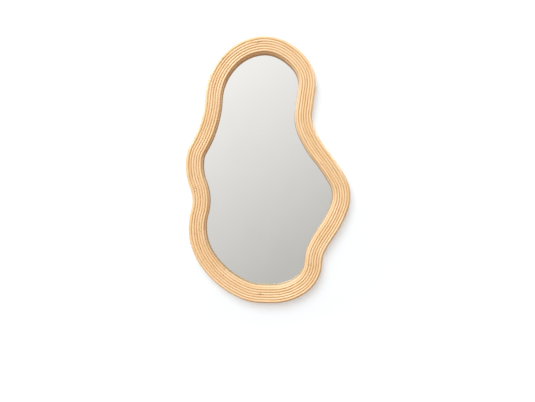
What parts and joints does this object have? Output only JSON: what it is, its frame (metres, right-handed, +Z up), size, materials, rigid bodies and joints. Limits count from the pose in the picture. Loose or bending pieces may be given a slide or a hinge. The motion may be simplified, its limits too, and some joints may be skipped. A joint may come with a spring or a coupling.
{
  "type": "irregular wall mirror",
  "caption": "Wall mirror of irregular rounded outline; its frame is clad in parallel round rods that follow the outline, with the pane set back inside.",
  "frame": {"origin": "on the wall plane, midway between the pivots of the two wall hangers", "axes": "+Z up, +Y towards the wall, +X to the right of a viewer who faces the mirror"},
  "size_m": [0.5423, 0.0373, 0.8789],
  "materials": {
    "rattan_rod": "natural rattan core, satin, fine lengthwise fibres",
    "mirror": "silvered float glass, ground edge",
    "plywood": "raw plywood, sawn edges with visible plies",
    "back_board": "thin hardboard, smooth matte",
    "foam_tape": "white double-sided foam tape",
    "brad_steel": "dull bright brads",
    "zinc_steel": "zinc plated",
    "hanger_steel": "nickel plated steel",
    "pad_rubber": "matte black rubber"
  },
  "bodies": {
    "mirror": {"frame_front_ring": "plywood", "mirror_glass": "mirror", "spacer_ring": "plywood", "mirror_tape_pads": "foam_tape", "back_panel": "back_board", "back_panel_screws": "zinc_steel", "face_rod_1": "rattan_rod", "face_rod_2": "rattan_rod", "face_rod_3": "rattan_rod", "face_rod_4": "rattan_rod", "face_rod_5": "rattan_rod", "face_rod_6": "rattan_rod", "face_rod_brads": "brad_steel", "inner_edge_rod_front_left": "rattan_rod", "inner_edge_rod_front_lower": "rattan_rod", "inner_edge_rod_front_upper": "rattan_rod", "inner_edge_rod_rear_left": "rattan_rod", "inner_edge_rod_rear_lower": "rattan_rod", "inner_edge_rod_rear_upper": "rattan_rod", "inner_edge_brads": "brad_steel", "outer_edge_rod_front": "rattan_rod", "outer_edge_rod_middle": "rattan_rod", "outer_edge_rod_rear": "rattan_rod", "outer_edge_brads": "brad_steel", "hanger_strap_left": "hanger_steel", "hanger_screw_left": "zinc_steel", "hanger_strap_right": "hanger_steel", "hanger_screw_right": "zinc_steel", "wall_pads": "pad_rubber"},
    "left_ring": {"hanger_ring_left": "hanger_steel"},
    "right_ring": {"hanger_ring_right": "hanger_steel"}
  },
  "joints": [
    {"name": "left_ring_hinge", "type": "hinge", "parent": "mirror", "child": "left_ring", "pos_m": [-0.15667, -0.00265, 0], "axis": [1, 0, 0], "range_deg": [0, 180]},
    {"name": "right_ring_hinge", "type": "hinge", "parent": "mirror", "child": "right_ring", "pos_m": [0.15667, -0.00265, 0], "axis": [1, 0, 0], "range_deg": [0, 180]}
  ]
}
